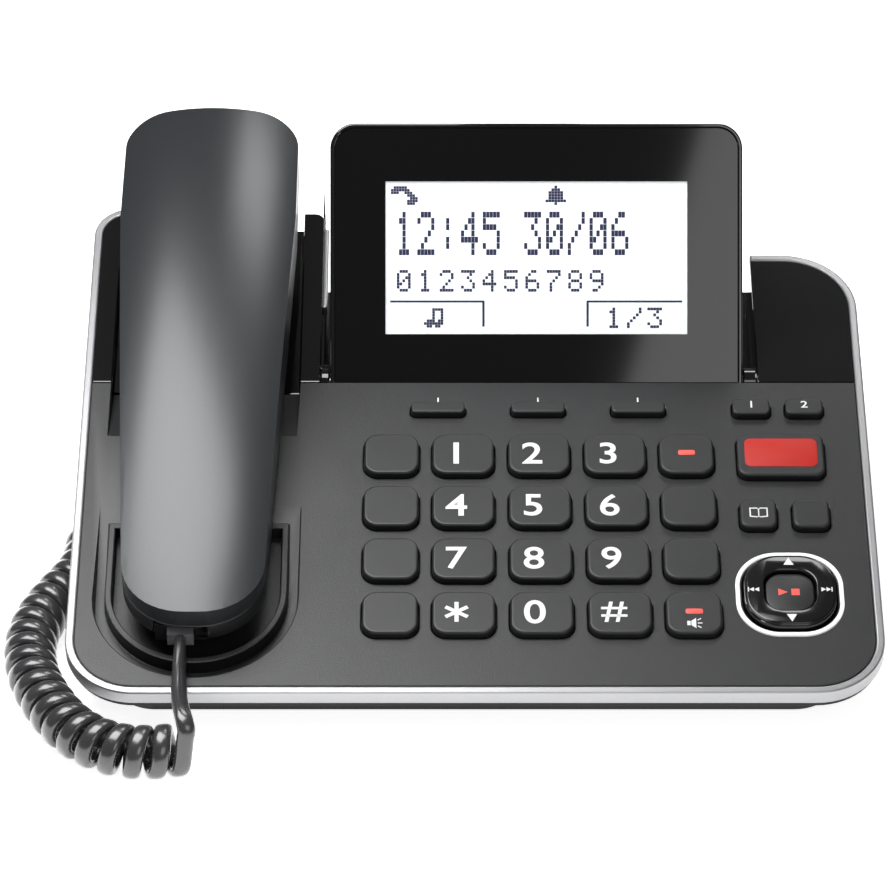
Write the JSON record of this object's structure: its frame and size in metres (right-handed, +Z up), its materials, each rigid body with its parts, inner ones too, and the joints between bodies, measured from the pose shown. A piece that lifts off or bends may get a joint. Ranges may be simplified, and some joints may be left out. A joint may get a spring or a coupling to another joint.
{
  "type": "answering machine",
  "caption": "Desk telephone with answering machine: sloping keypad base, corded handset in a cradle, coiled cord and a tilting display.",
  "frame": {"origin": "on the desk, under the middle of the base's width and of its depth with the handset in place, the cord left out", "axes": "+Z up, +Y towards the rear (the display's side), +X to the right seen from the user's side"},
  "size_m": [0.2549, 0.231, 0.1075],
  "materials": {
    "charcoal_skin": "fine textured ABS",
    "gloss_black": "polished ABS",
    "silver_band": "satin silver paint on ABS",
    "case_black": "textured ABS",
    "rubber_feet": "matt",
    "zinc_screw": "zinc plated",
    "board_green": "glass epoxy board",
    "silicone_mat": "silicone",
    "speaker_black": "paper cone in a frame",
    "jack_black": "moulded",
    "window_clear": "clear acrylic",
    "lcd_pale": "glass cell",
    "steel_pin": "turned",
    "white_ring": "clear over white",
    "key_charcoal": "satin",
    "key_red": "satin",
    "handset_grey": "satin paint with fine flake",
    "plug_clear": "clear polycarbonate",
    "cord_black": "flexible PVC"
  },
  "bodies": {
    "base": {"front_cover": "charcoal_skin", "rear_cover": "gloss_black", "side_band": "silver_band", "bottom_case": "case_black", "desk_stand": "case_black", "rubber_feet": "rubber_feet", "case_screws": "zinc_screw", "main_board": "board_green", "key_mat": "silicone_mat", "base_speaker": "speaker_black", "rear_jacks": "jack_black", "handset_jack": "jack_black", "base_plug": "plug_clear", "cord_lead": "cord_black", "cord_coil": "cord_black", "cord_tail": "cord_black", "hinge_pins": "steel_pin", "nav_ring": "white_ring"},
    "handset": {"handset_outer": "handset_grey", "handset_inner": "charcoal_skin", "earpiece": "speaker_black", "mouthpiece": "steel_pin", "handset_socket": "jack_black", "handset_plug": "plug_clear"},
    "hook": {"hook_plunger": "case_black"},
    "display": {"display_housing": "gloss_black", "display_bezel": "gloss_black", "display_window": "window_clear", "lcd_panel": "lcd_pale"},
    "nav_gimbal_body": {"nav_gimbal": "steel_pin"},
    "nav_rocker_body": {"nav_rocker": "gloss_black"},
    "play_key_body": {"play_key": "key_charcoal"},
    "key_1_body": {"key_1": "key_charcoal"},
    "key_2_body": {"key_2": "key_charcoal"},
    "key_3_body": {"key_3": "key_charcoal"},
    "key_4_body": {"key_4": "key_charcoal"},
    "key_5_body": {"key_5": "key_charcoal"},
    "key_6_body": {"key_6": "key_charcoal"},
    "key_7_body": {"key_7": "key_charcoal"},
    "key_8_body": {"key_8": "key_charcoal"},
    "key_9_body": {"key_9": "key_charcoal"},
    "key_star_body": {"key_star": "key_charcoal"},
    "key_0_body": {"key_0": "key_charcoal"},
    "key_hash_body": {"key_hash": "key_charcoal"},
    "left_key_1_body": {"left_key_1": "key_charcoal"},
    "left_key_2_body": {"left_key_2": "key_charcoal"},
    "left_key_3_body": {"left_key_3": "key_charcoal"},
    "left_key_4_body": {"left_key_4": "key_charcoal"},
    "right_key_1_body": {"right_key_1": "key_charcoal"},
    "right_key_2_body": {"right_key_2": "key_charcoal"},
    "right_key_3_body": {"right_key_3": "key_charcoal"},
    "right_key_4_body": {"right_key_4": "key_charcoal"},
    "soft_key_1_body": {"soft_key_1": "key_charcoal"},
    "soft_key_2_body": {"soft_key_2": "key_charcoal"},
    "soft_key_3_body": {"soft_key_3": "key_charcoal"},
    "memory_key_1_body": {"memory_key_1": "key_charcoal"},
    "memory_key_2_body": {"memory_key_2": "key_charcoal"},
    "menu_key_1_body": {"menu_key_1": "key_charcoal"},
    "menu_key_2_body": {"menu_key_2": "key_charcoal"},
    "red_key_body": {"red_key": "key_red"}
  },
  "joints": [
    {"name": "handset_lift", "type": "slide", "parent": "base", "child": "handset", "axis": [0, -0.2419, 0.9703], "range_m": [0, 0.06]},
    {"name": "hook_rise", "type": "slide", "parent": "base", "child": "hook", "axis": [0, -0.2419, 0.9703], "range_m": [0, 0.003]},
    {"name": "display_tilt", "type": "hinge", "parent": "base", "child": "display", "pos_m": [0.0191, 0.02138, 0.03988], "axis": [1, 0, 0], "range_deg": [-42, 0]},
    {"name": "nav_side_tilt", "type": "hinge", "parent": "base", "child": "nav_gimbal_body", "pos_m": [0.0914, -0.06537, 0.02031], "axis": [0, 0.9703, 0.2419], "range_deg": [-2.5, 2.5], "stiffness_Nm_per_rad": 0.05},
    {"name": "nav_up_tilt", "type": "hinge", "parent": "nav_gimbal_body", "child": "nav_rocker_body", "pos_m": [0.0914, -0.06537, 0.02031], "axis": [1, 0, 0], "range_deg": [-2.5, 2.5], "stiffness_Nm_per_rad": 0.05},
    {"name": "play_key_press", "type": "slide", "parent": "base", "child": "play_key_body", "axis": [0, -0.2419, 0.9703], "range_m": [-0.0014, 0], "stiffness_N_per_m": 200},
    {"name": "key_1_press", "type": "slide", "parent": "base", "child": "key_1_body", "axis": [0, -0.2419, 0.9703], "range_m": [-0.0014, 0], "stiffness_N_per_m": 200},
    {"name": "key_2_press", "type": "slide", "parent": "base", "child": "key_2_body", "axis": [0, -0.2419, 0.9703], "range_m": [-0.0014, 0], "stiffness_N_per_m": 200},
    {"name": "key_3_press", "type": "slide", "parent": "base", "child": "key_3_body", "axis": [0, -0.2419, 0.9703], "range_m": [-0.0014, 0], "stiffness_N_per_m": 200},
    {"name": "key_4_press", "type": "slide", "parent": "base", "child": "key_4_body", "axis": [0, -0.2419, 0.9703], "range_m": [-0.0014, 0], "stiffness_N_per_m": 200},
    {"name": "key_5_press", "type": "slide", "parent": "base", "child": "key_5_body", "axis": [0, -0.2419, 0.9703], "range_m": [-0.0014, 0], "stiffness_N_per_m": 200},
    {"name": "key_6_press", "type": "slide", "parent": "base", "child": "key_6_body", "axis": [0, -0.2419, 0.9703], "range_m": [-0.0014, 0], "stiffness_N_per_m": 200},
    {"name": "key_7_press", "type": "slide", "parent": "base", "child": "key_7_body", "axis": [0, -0.2419, 0.9703], "range_m": [-0.0014, 0], "stiffness_N_per_m": 200},
    {"name": "key_8_press", "type": "slide", "parent": "base", "child": "key_8_body", "axis": [0, -0.2419, 0.9703], "range_m": [-0.0014, 0], "stiffness_N_per_m": 200},
    {"name": "key_9_press", "type": "slide", "parent": "base", "child": "key_9_body", "axis": [0, -0.2419, 0.9703], "range_m": [-0.0014, 0], "stiffness_N_per_m": 200},
    {"name": "key_star_press", "type": "slide", "parent": "base", "child": "key_star_body", "axis": [0, -0.2419, 0.9703], "range_m": [-0.0014, 0], "stiffness_N_per_m": 200},
    {"name": "key_0_press", "type": "slide", "parent": "base", "child": "key_0_body", "axis": [0, -0.2419, 0.9703], "range_m": [-0.0014, 0], "stiffness_N_per_m": 200},
    {"name": "key_hash_press", "type": "slide", "parent": "base", "child": "key_hash_body", "axis": [0, -0.2419, 0.9703], "range_m": [-0.0014, 0], "stiffness_N_per_m": 200},
    {"name": "left_key_1_press", "type": "slide", "parent": "base", "child": "left_key_1_body", "axis": [0, -0.2419, 0.9703], "range_m": [-0.0014, 0], "stiffness_N_per_m": 200},
    {"name": "left_key_2_press", "type": "slide", "parent": "base", "child": "left_key_2_body", "axis": [0, -0.2419, 0.9703], "range_m": [-0.0014, 0], "stiffness_N_per_m": 200},
    {"name": "left_key_3_press", "type": "slide", "parent": "base", "child": "left_key_3_body", "axis": [0, -0.2419, 0.9703], "range_m": [-0.0014, 0], "stiffness_N_per_m": 200},
    {"name": "left_key_4_press", "type": "slide", "parent": "base", "child": "left_key_4_body", "axis": [0, -0.2419, 0.9703], "range_m": [-0.0014, 0], "stiffness_N_per_m": 200},
    {"name": "right_key_1_press", "type": "slide", "parent": "base", "child": "right_key_1_body", "axis": [0, -0.2419, 0.9703], "range_m": [-0.0014, 0], "stiffness_N_per_m": 200},
    {"name": "right_key_2_press", "type": "slide", "parent": "base", "child": "right_key_2_body", "axis": [0, -0.2419, 0.9703], "range_m": [-0.0014, 0], "stiffness_N_per_m": 200},
    {"name": "right_key_3_press", "type": "slide", "parent": "base", "child": "right_key_3_body", "axis": [0, -0.2419, 0.9703], "range_m": [-0.0014, 0], "stiffness_N_per_m": 200},
    {"name": "right_key_4_press", "type": "slide", "parent": "base", "child": "right_key_4_body", "axis": [0, -0.2419, 0.9703], "range_m": [-0.0014, 0], "stiffness_N_per_m": 200},
    {"name": "soft_key_1_press", "type": "slide", "parent": "base", "child": "soft_key_1_body", "axis": [0, -0.2419, 0.9703], "range_m": [-0.0014, 0], "stiffness_N_per_m": 200},
    {"name": "soft_key_2_press", "type": "slide", "parent": "base", "child": "soft_key_2_body", "axis": [0, -0.2419, 0.9703], "range_m": [-0.0014, 0], "stiffness_N_per_m": 200},
    {"name": "soft_key_3_press", "type": "slide", "parent": "base", "child": "soft_key_3_body", "axis": [0, -0.2419, 0.9703], "range_m": [-0.0014, 0], "stiffness_N_per_m": 200},
    {"name": "memory_key_1_press", "type": "slide", "parent": "base", "child": "memory_key_1_body", "axis": [0, -0.2419, 0.9703], "range_m": [-0.0014, 0], "stiffness_N_per_m": 200},
    {"name": "memory_key_2_press", "type": "slide", "parent": "base", "child": "memory_key_2_body", "axis": [0, -0.2419, 0.9703], "range_m": [-0.0014, 0], "stiffness_N_per_m": 200},
    {"name": "menu_key_1_press", "type": "slide", "parent": "base", "child": "menu_key_1_body", "axis": [0, -0.2419, 0.9703], "range_m": [-0.0014, 0], "stiffness_N_per_m": 200},
    {"name": "menu_key_2_press", "type": "slide", "parent": "base", "child": "menu_key_2_body", "axis": [0, -0.2419, 0.9703], "range_m": [-0.0014, 0], "stiffness_N_per_m": 200},
    {"name": "red_key_press", "type": "slide", "parent": "base", "child": "red_key_body", "axis": [0, -0.2419, 0.9703], "range_m": [-0.0014, 0], "stiffness_N_per_m": 200}
  ],
  "couplings": [
    {"joint": "hook_rise", "follows": "handset_lift", "ratio": 0.05}
  ]
}
